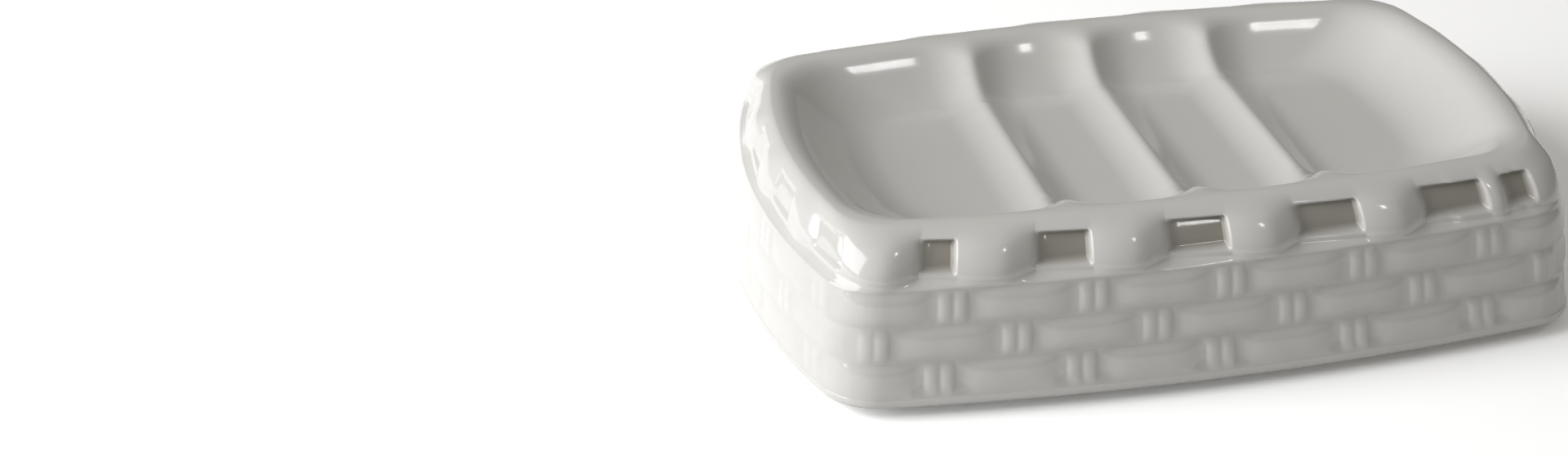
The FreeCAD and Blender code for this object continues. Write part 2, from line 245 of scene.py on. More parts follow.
# Pooled glaze and painted shade in the grooves of the weave, against a full pool of both in the pockets
GROOVE_POOL_AND_SHADE = 0.2


def steps(start, stop, number_of_steps):
    """Evenly spaced values after start, up to and with stop."""
    return [start + (stop - start) * step / number_of_steps for step in range(1, number_of_steps + 1)]


def ease(value):
    """Smooth step from 0 to 1."""
    value = max(0.0, min(1.0, value))
    return value * value * (3 - 2 * value)


class DishShape:
    """Works out where each ring of the dish's mesh lies."""

    def __init__(self, scene):
        self.form = scene.soap_dish_form
        self.weave = scene.soap_dish_weave
        self.basin = scene.soap_dish_basin
        form = self.form
        reference = self.plan(0.0, 0.0, form.corner_radius)
        self.lengths = [arc[2] * (arc[4] - arc[3]) for arc in reference]
        self.perimeter = sum(self.lengths)
        self.period = self.perimeter / self.weave.periods
        self.half = self.period / 2
        self.pockets = self.pocket_layout()
        self.belly_z = form.foot_lift + form.foot_height
        self.wide_z = self.belly_z + form.belly_rise
        self.band_z = self.wide_z + form.band_height
        self.ledge_top_z = form.height - form.crown_height
        self.ledge_z = self.ledge_top_z - form.ledge_rise
        self.basin_z = form.height - self.basin.depth

    def plan(self, inset_end, inset_side, corner):
        """Nine arcs anticlockwise from the middle of the front: centre, radius, first and last turn."""
        form = self.form
        end_radius = form.end_radius - inset_end
        side_radius = form.side_radius - inset_side
        end_x = form.length / 2 - form.end_radius
        side_y = form.width / 2 - form.side_radius
        to_end = end_radius - corner
        to_side = side_radius - corner
        span = math.hypot(end_x, side_y)
        along = (span ** 2 + to_end ** 2 - to_side ** 2) / (2 * span)
        aside = math.sqrt(to_end ** 2 - along ** 2)
        x = (-end_x * along - side_y * aside) / span + end_x
        y = (side_y * along - end_x * aside) / span
        end_turn = math.atan2(y, x - end_x)
        side_turn = math.atan2(x, y - side_y)
        right = math.pi / 2
        return [
            (0.0, -side_y, side_radius, -right, side_turn - right),
            (x, -y, corner, side_turn - right, -end_turn),
            (end_x, 0.0, end_radius, -end_turn, end_turn),
            (x, y, corner, end_turn, right - side_turn),
            (0.0, side_y, side_radius, right - side_turn, right + side_turn),
            (-x, y, corner, right + side_turn, 2 * right - end_turn),
            (-end_x, 0.0, end_radius, 2 * right - end_turn, 2 * right + end_turn),
            (-x, -y, corner, 2 * right + end_turn, 3 * right - side_turn),
            (0.0, -side_y, side_radius, 3 * right - side_turn, 3 * right),
        ]

    def station(self, distance):
        """Arc number and share of its turn at a distance round the overall outline."""
        distance %= self.perimeter
        for arc, length in enumerate(self.lengths):
            if distance <= length:
                return arc, distance / length
            distance -= length
        return len(self.lengths) - 1, 1.0

    def on_arc(self, arc, share, proud, z):
        """Point at a share of an arc's turn, standing proud of it."""
        x, y, radius, start, end = arc
        turn = start + share * (end - start)
        return Vector((x + (radius + proud) * math.cos(turn), y + (radius + proud) * math.sin(turn), z))

    def even_ring(self, columns, inset_end, inset_side, corner, z):
        """Ring of evenly spaced points with no relief."""
        arcs = self.plan(inset_end, inset_side, corner)
        ring = []
        for column in range(columns):
            arc, share = self.station(self.perimeter * column / columns)
            ring.append(self.on_arc(arcs[arc], share, 0.0, z))
        return ring

    def course_shift(self, course):
        """Where a course's first stake stands round the outline."""
        return self.weave.start + self.weave.skew * course

    def wall_columns(self, course):
        """Places of the columns of a course round the outline, from stake to stake."""
        stake = self.weave.stake_width / 2
        first = [0.0, *steps(0.0, stake, STAKE_STEPS)]
        first += steps(stake, self.half - stake, BRICK_STEPS)
        first += steps(self.half - stake, self.half, STAKE_STEPS)
        offsets = first[:-1] + [self.period - offset for offset in reversed(first[1:])]
        starts = [self.course_shift(course) + repeat * self.period for repeat in range(self.weave.periods)]
        return [start + offset for start in starts for offset in offsets]

    def pocket_layout(self):
        """Pockets round the outline: front, right end, both again half a turn on, and the first again."""
        half_round = self.perimeter / 2
        layout = [(place * MM, width * MM) for place, width in FRONT_POCKETS]
        near = layout[-1][0]
        far = layout[0][0] + half_round
        for place in steps(near, far, self.weave.end_pockets + 1)[:-1]:
            layout.append((place, self.weave.end_pocket_width))
        layout += [(place + half_round, width) for place, width in layout]
        return [*layout, (layout[0][0] + self.perimeter, layout[0][1])]

    def kept_relief(self, distance):
        """Share of the relief at a place round the outline: whole on the sides, fainter on the ends."""
        half_round = self.perimeter / 2
        first_place = self.pockets[0][0]
        near = self.pockets[len(FRONT_POCKETS) - 1][0] - first_place
        gap = (half_round - near) / (self.weave.end_pockets + 1)
        along = (distance - first_place) % half_round
        on_end = ease((along - near) / gap) * ease((half_round - along) / gap)
        return 1 - self.weave.end_fade * on_end

    def border_columns(self, wall):
        """Places of the columns of the border, as many as the wall has and beginning near its first."""
        first_place = self.pockets[0][0]
        columns = []
        for (place, width), (next_place, next_width) in zip(self.pockets, self.pockets[1:]):
            share = (next_place - first_place) / self.perimeter
            total = round(share * len(wall)) - len(columns)
            columns += self.gap_columns(place, width, next_place, next_width, total)
        before = sum(column < wall[0] for column in columns)
        return columns[before:] + [column + self.perimeter for column in columns[:before]]

    def gap_columns(self, place, width, next_place, next_width, total):
        """Columns from a pocket's middle to the next one's, close together over the pockets' walls."""
        wall = self.weave.pocket_wall
        wall_steps = POCKET_WALL_STEPS if next_place - place > NARROW_GAP * MM else NARROW_WALL_STEPS
        edges = [
            place,
            place + width / 2 - wall / 2,
            place + width / 2 + wall * 3 / 2,
            next_place - next_width / 2 - wall * 3 / 2,
            next_place - next_width / 2 + wall / 2,
            next_place,
        ]
        spans = [far - near for near, far in zip(edges, edges[1:])]
        rest = total - 2 * wall_steps
        open_length = spans[0] + spans[2] + spans[4]
        first = max(LEAST_STEPS, round(rest * spans[0] / open_length))
        last = max(LEAST_STEPS, round(rest * spans[4] / open_length))
        counts = (first, wall_steps, rest - first - last, wall_steps, last)
        columns = [place]
        for near, far, count_of_steps in zip(edges, edges[1:], counts):
            columns += steps(near, far, count_of_steps)
        return columns[:-1]

    def stake_course(self, offset):
        """Ribs and bricks of a course whose stakes stand at the marks, each as a share of its relief."""
        stake = self.weave.stake_width / 2
        if offset <= stake:
            groove = self.weave.rib_groove
            ribs = ease(1 - (2 * offset / stake - 1) ** 2)
            return groove * ribs + (1 - groove) * ease(2 - 2 * offset / stake), 0.0
        left = (self.half - offset) / (self.half - stake)
        return 0.0, ease(1 - left ** self.weave.brick_flatness)

    def border_course(self, distance):
        """Bulge, pocket and fall of the bulge at a place round the border, each as a share."""
        weave = self.weave
        first_place = self.pockets[0][0]
        distance = first_place + (distance - first_place) % self.perimeter
        after = bisect.bisect_right(self.pockets, (distance, math.inf), 1, len(self.pockets) - 1)
        place, width = self.pockets[after - 1]
        next_place, next_width = self.pockets[after]
        half_land = (next_place - next_width / 2 - place - width / 2) / 2
        from_wall = distance - place - width / 2
        to_slope = next_place - next_width / 2 - distance + (weave.pocket_slope - weave.pocket_wall) / 2
        pocket = 1 - min(ease(from_wall / weave.pocket_wall), ease(to_slope / weave.pocket_slope))
        reach = half_land - weave.pocket_wall
        middle = place + width / 2 + half_land
        along = (distance - middle) / reach
        proud = min(1.0, 2 * reach / weave.scallop_width)
        if along < -1:
            fall = (-1 - along) * reach / (width + 2 * weave.pocket_wall)
        elif along > 1:
            fall = 1 - (along - 1) * reach / (next_width + 2 * weave.pocket_wall)
        else:
            fall = ease(along)
        return proud * (1 - min(1.0, abs(along)) ** 2), pocket, proud * fall

    def wall_insets(self, z):
        """Insets of the woven wall's ground at a height, at the ends and at the sides."""
        share = (z - self.band_z) / (self.ledge_z - self.band_z)
        relief = self.weave.brick_relief
        return relief + share * self.form.wall_lean_end, relief + share * self.form.wall_lean_side

    def crown_insets(self, share):
        """Insets of the crown's ground at a share of its round."""
        end, side = self.wall_insets(self.ledge_z)
        end += self.form.ledge_depth + share * self.form.crown_round_end
        side += self.form.ledge_depth + share * self.form.crown_round_side
        return end, side

    def woven_ring(self, z, insets, columns, relief):
        """Ring of the outer mesh, standing proud by a relief, with each point's pooled glaze and painted
        shade.
        """
        arcs = self.plan(*insets, self.form.corner_radius)
        ring = []
        for distance in columns:
            arc, share = self.station(distance)
            proud, pool_and_shade = relief(distance)
            ring.append((self.on_arc(arcs[arc], share, proud, z), pool_and_shade))
        return ring

    def outer_rings(self):
        """Rings from the foot to the crest of the rim."""
        form = self.form
        weave = self.weave
        wall = self.wall_columns(0)

        def plain(distance):
            return 0.0, 0.0

        def ground(z, inset):
            return self.woven_ring(z, (inset, inset), wall, plain)

        for turn in steps(0.0, math.pi / 2, ROUND_RINGS):
            inset = form.foot_inset + form.foot_round * (1 - math.sin(turn))
            yield ground(form.foot_lift + form.foot_round * (1 - math.cos(turn)), inset)
        for turn in [0.0, *steps(0.0, math.pi / 2, ROUND_RINGS)]:
            inset = form.foot_inset * (1 - math.sin(turn))
            yield ground(self.belly_z + form.belly_rise * (1 - math.cos(turn)), inset)
        for turn in steps(0.0, math.pi / 2, ROUND_RINGS):
            inset = weave.brick_relief * (1 - weave.band_fill) * (1 - math.cos(turn))
            yield ground(self.wide_z + form.band_height * math.sin(turn), inset)

        height = (self.ledge_z - self.band_z) / weave.courses
        for course in range(weave.courses):
            wall = self.wall_columns(course)
            for step in range(1, COURSE_RINGS + 1):
                share = (1 - math.cos(math.pi * step / COURSE_RINGS)) / 2
                z = self.band_z + (course + share) * height
                yield self.woven_ring(z, self.wall_insets(z), wall, self.course_relief(course, share))

        border = self.border_columns(wall)
        low = self.wall_insets(self.ledge_z)
        high = self.crown_insets(0.0)
        for share in steps(0.0, 1.0, LEDGE_RINGS):
            columns = [near + ease(share) * (far - near) for near, far in zip(wall, border)]
            insets = [near + ease(share) * (far - near) for near, far in zip(low, high)]
            z = self.ledge_z + form.ledge_rise * share
            yield self.woven_ring(z, insets, columns, self.border_relief(share, 0.0))
        for turn in steps(0.0, math.pi / 2, CROWN_RINGS):
            power = 2 / form.crown_fullness
            rise = form.crown_height * math.sin(turn) ** power
            round_in = 1 - max(0.0, math.cos(turn)) ** power
            from_sill = rise - weave.pocket_sill
            sunk = min(from_sill, weave.pocket_height - from_sill) / weave.pocket_wall
            yield self.woven_ring(
                self.ledge_top_z + rise, self.crown_insets(round_in), border,
                self.border_relief(self.bulged(rise), ease(sunk)),
            )

    def bulged(self, rise):
        """Share of the bulges at a height over the ledge: full, then fading out up to the crest."""
        weave = self.weave

        def faded(height):
            over = (height - weave.scallop_top) / (self.form.crown_height - weave.scallop_top)
            return over + math.hypot(over, weave.scallop_soft)

        return 1 - faded(rise) / faded(self.form.crown_height)

    def course_relief(self, course, share):
        """Relief of a course at a share of its height."""
        weave = self.weave
        swell = ease(1 - abs(2 * share - 1) ** weave.brick_flatness)
        shift = self.course_shift(course) + self.half * (course % 2)
        filled = weave.band_fill * (1 - ease(share / weave.band_blend)) if course == 0 else 0.0

        def relief(distance):
            offset = (distance - shift) % self.period
            rib, brick = self.stake_course(min(offset, self.period - offset))
            proud = swell * (rib * weave.rib_relief + brick * weave.brick_relief)
            kept = self.kept_relief(distance)
            proud += (1 - kept * (1 - filled)) * (weave.brick_relief - proud)
            # Pooled glaze and painted shade, darker in the grooves between the bricks and ribs
            return proud, kept * GROOVE_POOL_AND_SHADE * (1 - swell * max(rib, brick)) ** 2

        return relief

    def border_relief(self, bulged, sunk):
        """Relief of the border, with its bulges and its pockets each at a share."""
        weave = self.weave

        def relief(distance):
            bulge, pocket, fall = self.border_course(distance)
            depth = sunk * pocket
            kept = self.kept_relief(distance)
            proud = bulged * (bulge * weave.scallop - (1 - depth) * fall * weave.scallop_fall)
            # Pooled glaze and painted shade, darkest in the pockets and fainter on the ends
            return kept * (proud - depth * weave.pocket_depth), kept ** 2 * depth

        return relief

    def ridge_places(self):
        """Places of the ridges along X."""
        basin = self.basin
        return [basin.ridge_spacing * (place - (basin.ridges - 1) / 2) for place in range(basin.ridges)]

    def ridge(self, x):
        """Height of the nearest ridge over the floor."""
        basin = self.basin
        away = min(abs(x - place) for place in self.ridge_places())
        flank = basin.ridge_flank
        crest = basin.ridge_crest
        steepness = basin.ridge_height / (flank * (flank + crest))
        if away <= crest:
            return basin.ridge_height - steepness * flank * away ** 2 / crest
        return steepness * max(0.0, flank + crest - away) ** 2

    def bay(self, x):
        """How far the wall is drawn in near a ridge, as a share."""
        away = min(abs(x - place) for place in self.ridge_places())
        soft = math.hypot(away, self.basin.bay_soft) - self.basin.bay_soft
        return max(0.0, 1 - 2 * soft / self.basin.ridge_spacing) ** self.basin.bay_power

    def basin_profile(self):
        """Wall of the basin in steps: inset from the crest, drop, and shares of the bays and ridges."""
        basin = self.basin
        lip = basin.lip_width
        cove = basin.cove_width
        slope = 2 * basin.depth / (lip + cove)
        for inset in [0.0, *steps(0.0, lip, LIP_RINGS)]:
            yield inset, slope * inset ** 2 / (2 * lip), ease(inset / lip), 0.0
        for rest in steps(cove, 0.0, COVE_RINGS):
            drop = basin.depth - slope * rest ** 2 / (2 * cove)
            yield lip + cove - rest, drop, 1.0, 1 - rest / cove

    def basin_rings(self):
        """Rings from the crest of the rim down the lip and the cove to the floor."""
        end, side = self.crown_insets(1.0)
        end += self.form.rim_land
        side += self.form.rim_land
        for inset, drop, bayed, ridged in self.basin_profile():
            arcs = self.plan(end + self.basin.end_stretch * inset, side + inset, self.basin.corner)
            ring = []
            for column in range(BASIN_COLUMNS):
                arc, share = self.station(self.perimeter * column / BASIN_COLUMNS)
                x = self.on_arc(arcs[arc], share, 0.0, 0.0).x
                drawn = self.basin.bay_depth * bayed * self.bay(x) if arc in LONG_SIDES else 0.0
                point = self.on_arc(arcs[arc], share, -drawn, self.form.height - drop)
                point.z += ridged * self.ridge(point.x)
                ring.append(point)
            yield ring

    def base_rings(self):
        """Rings from the foot ring over the recessed panel, up the vent and round the hollow inside."""
        form = self.form
        corner = form.corner_radius
        inset = form.foot_inset + form.foot_width
        edge = form.foot_round
        for turn in [0.0, *steps(0.0, math.pi / 2, ROUND_RINGS)]:
            ring_inset = inset - edge * (1 - math.sin(turn))
            z = form.foot_lift + edge * (1 - math.cos(turn))
            yield self.even_ring(BASE_COLUMNS, ring_inset, ring_inset, corner, z)
        bore = form.vent_bore / 2
        for margin in (0.0, PANEL_MARGIN * MM):
            yield self.even_ring(BASE_COLUMNS, inset + margin, inset + margin, corner, panel_level)
        for margin in (PANEL_MARGIN * MM, 0.0):
            yield self.round_ring(bore + margin, panel_level)
        chamber_low = panel_level + form.base_thickness
        chamber_high = self.basin_z - form.floor_thickness
        yield self.round_ring(bore, chamber_low)
        for z, more in (
            (chamber_low, form.chamber_round),
            (chamber_low + form.chamber_round, 0.0),
            (chamber_high - form.chamber_round, 0.0),
            (chamber_high, form.chamber_round),
        ):
            end, side = self.wall_insets(z)
            end += form.wall_thickness + more
            side += form.wall_thickness + more
            yield self.even_ring(BASE_COLUMNS, end, side, corner, z)
        yield self.round_ring(bore, chamber_high)

    def round_ring(self, radius, z):
        """Circle of points, turned as the outline is."""
        turns = [2 * math.pi * column / BASE_COLUMNS - math.pi / 2 for column in range(BASE_COLUMNS)]
        return [Vector((radius * math.cos(turn), radius * math.sin(turn), z)) for turn in turns]


def clear_selection():
    """Leaves edit mode and selects nothing."""
    if bpy.context.object and bpy.context.object.mode != "OBJECT":
        bpy.ops.object.mode_set(mode="OBJECT")
    bpy.ops.object.select_all(action="DESELECT")


class RingModel:
    """A mesh in edit mode that grows ring by ring."""

    def __init__(self, name):
        clear_selection()
        self.name = name
        self.piece = None

    def mesh(self):
        """The mesh as it stands in edit mode."""
        return bmesh.from_edit_mesh(self.piece.data)

    def start(self, columns):
        """Adds a circle as the first ring of a shell and numbers its columns round it."""
        if self.piece:
            bpy.ops.mesh.select_all(action="DESELECT")
        bpy.ops.mesh.primitive_circle_add(vertices=columns, radius=MM, enter_editmode=True)
        if not self.piece:
            self.piece = bpy.context.object
            self.piece.name = self.name
            self.piece.data.name = self.name
            self.mesh().verts.layers.int.new("column")
            # Layer of pooled glaze and painted shade for each point
            self.mesh().verts.layers.float.new("pooled_glaze_and_shade")
        mesh = self.mesh()
        column = mesh.verts.layers.int["column"]
        circle = [vert for vert in mesh.verts if vert.select]
        circle.sort(key=lambda vert: math.atan2(vert.co.y, vert.co.x))
        for place, vert in enumerate(circle):
            vert[column] = place

    def lay(self, ring, pools_and_shade=None):
        """Moves the selected ring to its place."""
        mesh = self.mesh()
        column = mesh.verts.layers.int["column"]
        pooled_and_shaded = mesh.verts.layers.float["pooled_glaze_and_shade"]
        for vert in mesh.verts:
            if vert.select:
                vert.co = ring[vert[column]]
                vert[pooled_and_shaded] = pools_and_shade[vert[column]] if pools_and_shade else 0.0
        bmesh.update_edit_mesh(self.piece.data)

    def grow(self):
        """Extrudes the selected ring into the next one."""
        bpy.ops.mesh.extrude_region_move()

    def shell(self, rings):
        """Models a shell from its rings, each a list of points or of points with pooled glaze and painted
        shade.
        """
        for place, ring in enumerate(rings):
            pools_and_shade = None
            if isinstance(ring[0], tuple):
                ring, pools_and_shade = zip(*ring)
            if place == 0:
                self.start(len(ring))
            else:
                self.grow()
            self.lay(ring, pools_and_shade)

    def bridge_open_rings(self, low, high):
        """Joins the two open rings that lie between two heights."""
        bpy.ops.mesh.select_all(action="DESELECT")
        mesh = self.mesh()
        for edge in mesh.edges:
            if edge.is_boundary and low < edge.verts[0].co.z < high:
                edge.select_set(True)
        mesh.select_flush(True)
        bmesh.update_edit_mesh(self.piece.data)
        bpy.ops.mesh.bridge_edge_loops()

    def finish(self):
        """Turns the faces outwards, smooths the shading and leaves edit mode."""
        bpy.ops.mesh.select_all(action="SELECT")
        bpy.ops.mesh.normals_make_consistent(inside=False)
        bpy.ops.object.mode_set(mode="OBJECT")
        bpy.ops.object.shade_smooth()
        self.piece.data.attributes.remove(self.piece.data.attributes["column"])
        return self.piece


def model_dish_body(shape):
    """The dish: woven outside, ridged basin, and underside with the vent and the hollow."""
    model = RingModel("glazed_dish")
    model.shell(shape.outer_rings())
    model.shell(shape.basin_rings())
    fill_basin_floor(model, shape)
    model.shell(shape.base_rings())
    bpy.ops.mesh.merge(type="CENTER")
    height = shape.form.height
    model.bridge_open_rings(height / 2, height * 2)
    model.bridge_open_rings(0.0, height / 2)
    return model.finish()


def fill_basin_floor(model, shape):
    """Fills the last ring of the basin with a grid and lays it on the ridged floor."""
    to_corner = shape.lengths[0] + shape.lengths[1] / 2
    side_columns = round(2 * to_corner / shape.perimeter * BASIN_COLUMNS)
    start_column = BASIN_COLUMNS - side_columns // 2
    mesh = model.mesh()
    column = mesh.verts.layers.int["column"]
    mesh.select_history.clear()
    for vert in mesh.verts:
        if vert.select and vert[column] == start_column:
            mesh.select_history.add(vert)
    bmesh.update_edit_mesh(model.piece.data)
    bpy.ops.mesh.fill_grid(span=side_columns, offset=0)
    mesh = model.mesh()
    for vert in mesh.verts:
        if vert.select:
            vert.co.z = shape.basin_z + shape.ridge(vert.co.x)
    bmesh.update_edit_mesh(model.piece.data)


class Shade:
    """A shader socket that takes part in arithmetic."""

    def __init__(self, finish, socket):
        self.finish = finish
        self.socket = socket

    def math(self, operation, first, second):
        """Adds a node that joins two values."""
        return self.finish.node("ShaderNodeMath", {"operation": operation}, {0: first, 1: second})

    def __add__(self, other):
        return self.math("ADD", self, other)

    def __radd__(self, other):
        return self.math("ADD", other, self)

    def __mul__(self, other):
        return self.math("MULTIPLY", self, other)

    def __rmul__(self, other):
        return self.math("MULTIPLY", other, self)


class Finish:
    """A material whose nodes are added one by one."""

    def __init__(self, name):
        self.material = bpy.data.materials.new(name)
        self.material.use_nodes = True
        self.tree = self.material.node_tree
        self.shader = self.tree.nodes["Principled BSDF"]

    def feed(self, socket, value):
        """Sets a socket to a value or links it."""
        if isinstance(value, Shade):
            self.tree.links.new(value.socket, socket)
        else:
            socket.default_value = value

    def node(self, kind, settings=None, sockets=None, output=0):
        """Adds a node with its settings and its sockets' values or links."""
        node = self.tree.nodes.new(kind)
        for name, value in (settings or {}).items():
            if name == "stops":
                for stop, (place, level) in zip(node.color_ramp.elements, value):
                    stop.position = place
                    stop.color = (level, level, level, 1.0)
            else:
                setattr(node, name, value)
        for name, value in (sockets or {}).items():
            self.feed(node.inputs[name], value)
        return Shade(self, node.outputs[output])

    def set(self, **values):
        """Sets or links the shader's own sockets."""
        for name, value in values.items():
            self.feed(self.shader.inputs[name.replace("_", " ").title().replace("Ior", "IOR")], value)

    def mix(self, factor, first, second):
        """Mixes two colours."""
        return self.node(
            "ShaderNodeMix", {"data_type": "RGBA"}, {0: factor, 6: first, 7: second}, output=2
        )

    def place(self):
        """Object coordinates."""
        return self.node("ShaderNodeTexCoord", output="Object")

    def noise(self, place, scale, detail=2.0):
        """Soft noise at so many waves in a metre."""
        return self.node("ShaderNodeTexNoise", None, {"Vector": place, "Scale": scale, "Detail": detail})

    def bump(self, height, strength, distance):
        """Normal from a height."""
        return self.node(
            "ShaderNodeBump", None, {"Height": height, "Strength": strength, "Distance": distance}
        )


def opaque(value):
    """A colour with full alpha."""
    return (*value, 1.0)


# Glaze: waves in a metre of its clouds, ripple and sheen, and how far each one goes
CLOUD_WAVES = 55.0
CLOUD_STOPS = ((0.35, 0.0), (0.75, 1.0))
CLOUD_THINNING = 0.55
# Strength of the pooled glaze and its painted shade: least, and more with the clouds
POOL_AND_SHADE_LEAST = 0.70
POOL_AND_SHADE_CLOUDS = 0.4
RIPPLE_WAVES = 190.0
RIPPLE_STRENGTH = 0.12
RIPPLE_HEIGHT = 0.2
SHEEN_WAVES = 420.0
SHEEN_LEAST = 0.10
SHEEN_SPREAD = 0.07
GLAZE_COAT = 0.25
GLAZE_COAT_ROUGHNESS = 0.05
GLASS_IOR = 1.5


def glaze_finish(colours):
    """Glossy white glaze: greyer where it pools, with painted shade in the pockets and grooves, warmer and
    thinner in places, with a faint ripple.
    """
    finish = Finish("white_glaze")
    place = finish.place()
    pooled_and_shaded = finish.node("ShaderNodeAttribute", {"attribute_name": "pooled_glaze_and_shade"}, output="Fac")
    cloud = finish.noise(place, CLOUD_WAVES, 3.0)
    patch = finish.node("ShaderNodeValToRGB", {"stops": CLOUD_STOPS}, {"Fac": cloud})
    even = finish.mix(patch * CLOUD_THINNING, opaque(colours.glaze), opaque(colours.thin))
    # Painted shade with the pooled glaze: darkens the pockets and grooves
    depth = pooled_and_shaded * (POOL_AND_SHADE_LEAST + POOL_AND_SHADE_CLOUDS * cloud)
    finish.set(base_color=finish.mix(depth, even, opaque(colours.pooled_and_shaded)))
    finish.set(roughness=SHEEN_LEAST + SHEEN_SPREAD * finish.noise(place, SHEEN_WAVES))
    ripple = finish.noise(place, RIPPLE_WAVES, 1.0)
    finish.set(normal=finish.bump(ripple, RIPPLE_STRENGTH, RIPPLE_HEIGHT * MM))
    finish.set(ior=GLASS_IOR, coat_weight=GLAZE_COAT, coat_roughness=GLAZE_COAT_ROUGHNESS)
    return finish.material


# Silicone and tape: waves in a metre, darkest shade, roughness and grain, the last one in mm
SILICONE_WAVES = 240.0
SILICONE_SHADE = 0.85
SILICONE_ROUGHNESS = (0.42, 0.16)
GRAIN_WAVES = 2600.0
GRAIN_STRENGTH = 0.25
GRAIN_HEIGHT = 0.05
TAPE_CELLS = 3200.0
TAPE_SHADE = 0.7
TAPE_ROUGHNESS = (0.75, 0.15)
TAPE_STRENGTH = 0.4


def silicone_finish(colours):
    """Matt grey silicone with a faint moulded grain."""
    finish = Finish("soft_silicone")
    place = finish.place()
    cloud = finish.noise(place, SILICONE_WAVES, 3.0)
    darker = [SILICONE_SHADE * level for level in colours.silicone]
    finish.set(base_color=finish.mix(cloud, opaque(darker), opaque(colours.silicone)))
    least, spread = SILICONE_ROUGHNESS
    finish.set(roughness=least + spread * cloud)
    grain = finish.noise(place, GRAIN_WAVES, 3.0)
    finish.set(normal=finish.bump(grain, GRAIN_STRENGTH, GRAIN_HEIGHT * MM))
    return finish.material


def tape_finish(colours):
    """Foam tape with open cells."""
    finish = Finish("foam_tape")
    place = finish.place()
    cells = finish.node(
        "ShaderNodeTexVoronoi", {"feature": "F1"}, {"Vector": place, "Scale": TAPE_CELLS}
    )
    darker = [TAPE_SHADE * level for level in colours.tape]
    finish.set(base_color=finish.mix(cells, opaque(darker), opaque(colours.tape)))
    least, spread = TAPE_ROUGHNESS
    finish.set(roughness=least + spread * cells)
    finish.set(normal=finish.bump(cells, TAPE_STRENGTH, GRAIN_HEIGHT * MM))
    return finish.material


def dress(piece, material):
    """Gives a piece one material."""
    piece.data.materials.clear()
    piece.data.materials.append(material)


class SOAPDISH_OT_body(bpy.types.Operator):
    """Model the glazed dish with its woven sides and ridged basin"""

    bl_idname = "soapdish.body"
    bl_label = "Glazed Dish"

    def execute(self, context):
        piece = model_dish_body(DishShape(context.scene))
        dress(piece, glaze_finish(context.scene.soap_dish_finish))
        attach(piece, "root")
        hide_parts("dish_body")
        return {"FINISHED"}


class SOAPDISH_OT_pads(bpy.types.Operator):
    """Finish the four soft pads and the plug of the vent hole"""

    bl_idname = "soapdish.pads"
    bl_label = "Pads and Plug"

    def execute(self, context):
        silicone = silicone_finish(context.scene.soap_dish_finish)
        for name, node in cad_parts.items():
            if name.startswith("foot_pad") or name == "vent_plug":
                dress(node, silicone)
        return {"FINISHED"}


class SOAPDISH_OT_tape(bpy.types.Operator):
    """Finish the adhesive discs that hold the pads"""

    bl_idname = "soapdish.tape"
    bl_label = "Adhesive Discs"

    def execute(self, context):
        tape = tape_finish(context.scene.soap_dish_finish)
        for name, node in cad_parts.items():
            if name.startswith("adhesive_disc"):
                dress(node, tape)
        return {"FINISHED"}


def seen_directly(finish):
    """One for rays from the camera and its reflections, nothing for the light on the object."""
    rays = ("Is Camera Ray", "Is Glossy Ray", "Is Transmission Ray")
    camera, glossy, transmission = [finish.node("ShaderNodeLightPath", output=ray) for ray in rays]
    return camera + glossy + transmission


# Stage, in metres: the floor, then each light's direction, distance and extent
FLOOR_SIZE = 6.0
FLOOR_ROUGHNESS = 0.9
KEY_TOWARDS = (-0.89, -0.04, 0.45)
KEY_DISTANCE = 0.9
KEY_SIZE = (0.7, 0.7)
WINDOW_TOWARDS = (0.31, -0.55, 0.78)
WINDOW_DISTANCE = 0.8
WINDOW_SIZE = (0.05, 0.08)
# Width of the camera's sensor, in mm
SENSOR_WIDTH = 36.0


def add_floor(stage):
    """Floor that looks pale to the camera and keeps the dish's shadow."""
    clear_selection()
    bpy.ops.mesh.primitive_plane_add(size=FLOOR_SIZE)
    floor = bpy.context.object
    floor.name = "studio_floor"
    finish = Finish("pale_floor")
    pale = opaque([stage.floor_paleness * level for level in stage.floor])
    finish.set(base_color=finish.mix(seen_directly(finish), opaque(stage.floor), pale))
    finish.set(roughness=FLOOR_ROUGHNESS, specular_ior_level=0.0)
    dress(floor, finish.material)
    floor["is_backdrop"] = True


def add_soft_light(name, towards, distance, extent, power, aim):
    """Rectangular light in a direction from the dish, turned to face it."""
    clear_selection()
    direction = Vector(towards).normalized()
    bpy.ops.object.light_add(type="AREA", location=aim + direction * distance)
    lamp = bpy.context.object
    lamp.name = name
    lamp.rotation_euler = direction.to_track_quat("Z", "Y").to_euler()
    lamp.data.shape = "RECTANGLE"
    lamp.data.size, lamp.data.size_y = extent
    lamp.data.energy = power


def add_world(stage):
    """Even light all round."""
    world = bpy.data.worlds.new("studio_air")
    world.use_nodes = True
    bpy.context.scene.world = world
    nodes = world.node_tree.nodes
    nodes["Background"].inputs["Color"].default_value = opaque(stage.fill_tint)
    nodes["Background"].inputs["Strength"].default_value = stage.fill


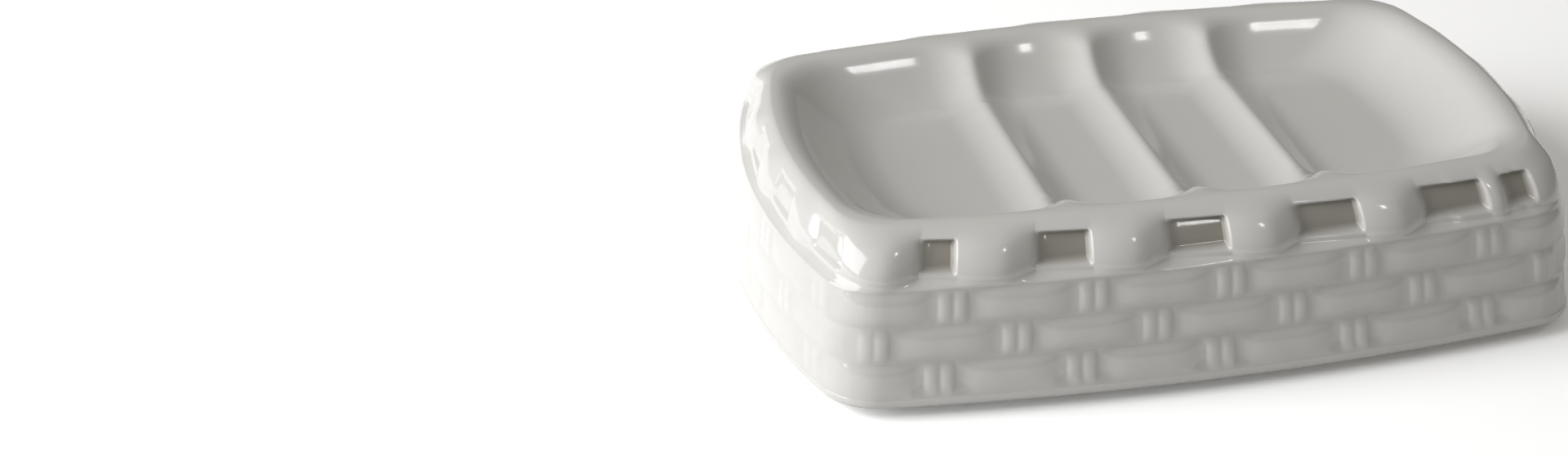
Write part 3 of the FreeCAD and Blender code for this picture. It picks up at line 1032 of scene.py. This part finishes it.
def add_camera(stage, aim):
    """Camera at the picture's angle, turned so that the dish lies at its place in the frame."""
    level = math.cos(stage.elevation)
    back = Vector((
        math.sin(stage.azimuth) * level, -math.cos(stage.azimuth) * level, math.sin(stage.elevation)
    ))
    right = Vector((0.0, 0.0, 1.0)).cross(back).normalized()
    up = back.cross(right)
    rolled_right = math.cos(stage.roll) * right + math.sin(stage.roll) * up
    rolled_up = math.cos(stage.roll) * up - math.sin(stage.roll) * right
    facing = Matrix((rolled_right, rolled_up, back)).transposed()
    pixels = stage.lens / SENSOR_WIDTH * stage.picture_width
    across = (stage.aim_column - stage.picture_width / 2) / pixels
    down = (stage.aim_row - stage.picture_height / 2) / pixels
    ahead = Vector((0.0, 0.0, -1.0))
    turn = ahead.rotation_difference(Vector((across, -down, -1.0))).to_matrix()
    clear_selection()
    bpy.ops.object.camera_add()
    camera = bpy.context.object
    camera.name = "picture_camera"
    camera.data.lens = stage.lens
    camera.data.sensor_fit = "HORIZONTAL"
    camera.data.sensor_width = SENSOR_WIDTH
    camera.data.clip_start = stage.distance / 100
    place = Matrix.Translation(aim + back * stage.distance)
    camera.matrix_world = place @ (facing @ turn.inverted()).to_4x4()
    bpy.context.scene.camera = camera


class SOAPDISH_OT_stage(bpy.types.Operator):
    """Set up the floor, the light and the camera"""

    bl_idname = "soapdish.stage"
    bl_label = "Studio Stage"

    def execute(self, context):
        stage = context.scene.soap_dish_stage
        aim = Vector((0.0, 0.0, context.scene.soap_dish_form.height / 2))
        add_floor(stage)
        add_world(stage)
        add_soft_light("key_light", KEY_TOWARDS, KEY_DISTANCE, KEY_SIZE, stage.key_power, aim)
        add_soft_light(
            "window_light", WINDOW_TOWARDS, WINDOW_DISTANCE, WINDOW_SIZE, stage.window_power, aim
        )
        add_camera(stage, aim)
        context.scene.view_settings.view_transform = "Standard"
        return {"FINISHED"}


GROUPS = {
    "soap_dish_form": SoapDishForm,
    "soap_dish_weave": SoapDishWeave,
    "soap_dish_basin": SoapDishBasin,
    "soap_dish_finish": SoapDishFinish,
    "soap_dish_stage": SoapDishStage,
}
OPERATORS = (SOAPDISH_OT_body, SOAPDISH_OT_pads, SOAPDISH_OT_tape, SOAPDISH_OT_stage)


class SOAPDISH_PT_panel(bpy.types.Panel):
    """Sizes, colours and steps of the soap dish"""

    bl_label = "Soap Dish"
    bl_idname = "SOAPDISH_PT_panel"
    bl_space_type = "VIEW_3D"
    bl_region_type = "UI"
    bl_category = "Soap Dish"

    def draw(self, context):
        for operator in OPERATORS:
            self.layout.operator(operator.bl_idname)
        for name in GROUPS:
            group = getattr(context.scene, name)
            box = self.layout.box()
            for setting in group.bl_rna.properties.keys():
                if setting not in ("rna_type", "name"):
                    box.prop(group, setting)


CLASSES = (*GROUPS.values(), *OPERATORS, SOAPDISH_PT_panel)


def register():
    for kind in CLASSES:
        bpy.utils.register_class(kind)
    for name, group in GROUPS.items():
        setattr(bpy.types.Scene, name, PointerProperty(type=group))


def unregister():
    for name in GROUPS:
        delattr(bpy.types.Scene, name)
    for kind in reversed(CLASSES):
        bpy.utils.unregister_class(kind)


def main():
    register()
    bpy.ops.soapdish.body()
    bpy.ops.soapdish.pads()
    bpy.ops.soapdish.tape()
    bpy.ops.soapdish.stage()
    clear_selection()
    boxes = {"cad": cad_box, "visual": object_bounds()}
    {name: [list(corner) for corner in box] for name, box in boxes.items()}


if __name__ == "__main__":
    main()
